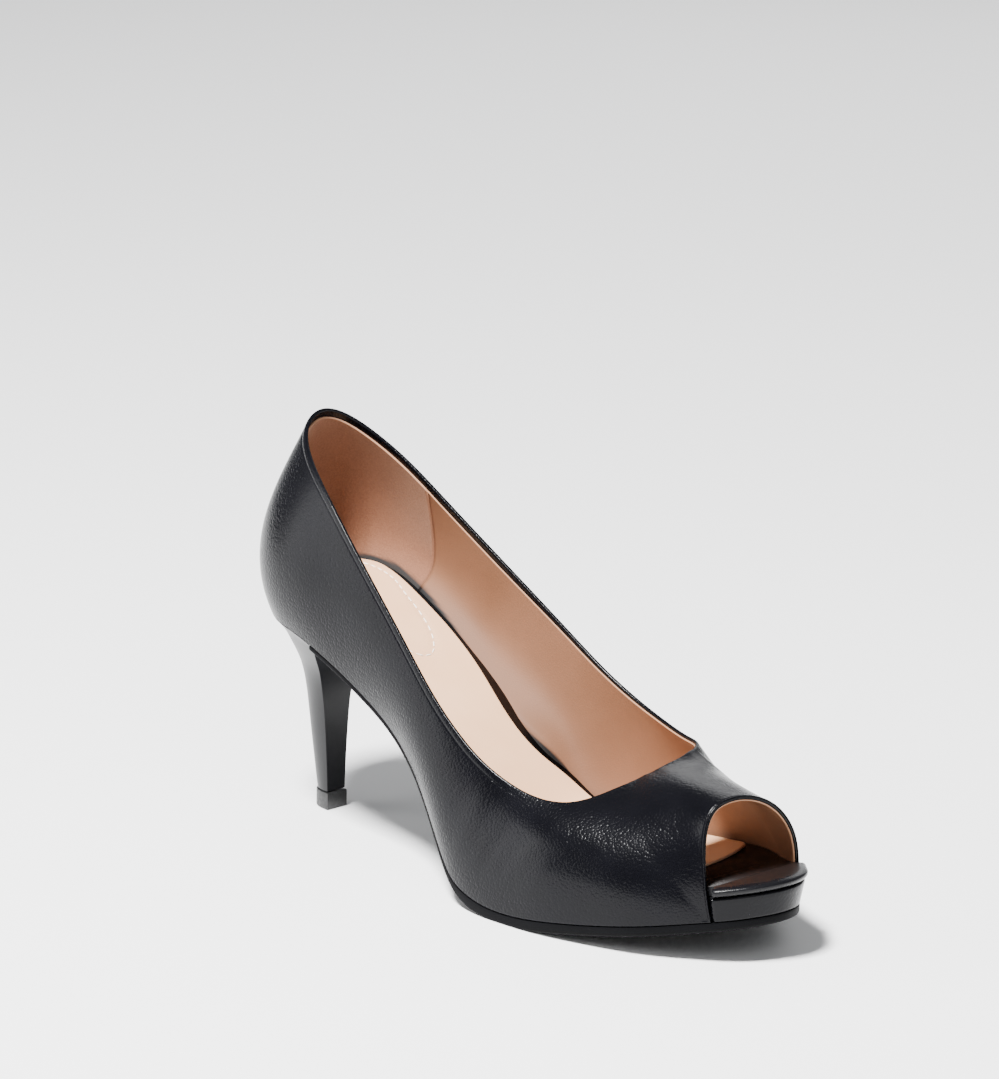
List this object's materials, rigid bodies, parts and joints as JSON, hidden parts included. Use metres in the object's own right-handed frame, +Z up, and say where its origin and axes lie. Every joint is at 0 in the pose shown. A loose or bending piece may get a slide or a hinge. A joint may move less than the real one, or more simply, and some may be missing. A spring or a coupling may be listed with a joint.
{
  "type": "peep toe pump",
  "caption": "High-heeled peep toe pump with a low platform, an open collar, a slim tapered heel and a soft hollow leather upper, right shoe.",
  "frame": {"origin": "centre of the bounding box's base, on the floor under the shoe", "axes": "+X from heel to toe, +Y to the inner (medial) side of the foot, +Z up"},
  "size_m": [0.2294, 0.0802, 0.1348],
  "materials": {
    "upper_leather": "smooth, fine grain, soft sheen",
    "wrap_leather": "smooth leather wrap",
    "sock_leather": "matte",
    "sole_rubber": "matte",
    "heel_cover": "satin",
    "tip_rubber": "matte"
  },
  "bodies": {
    "root": {"upper": "upper_leather", "footbed": "wrap_leather", "sock": "sock_leather", "platform": "wrap_leather", "outsole": "sole_rubber", "heel": "heel_cover", "heel_tip": "tip_rubber"}
  },
  "joints": []
}
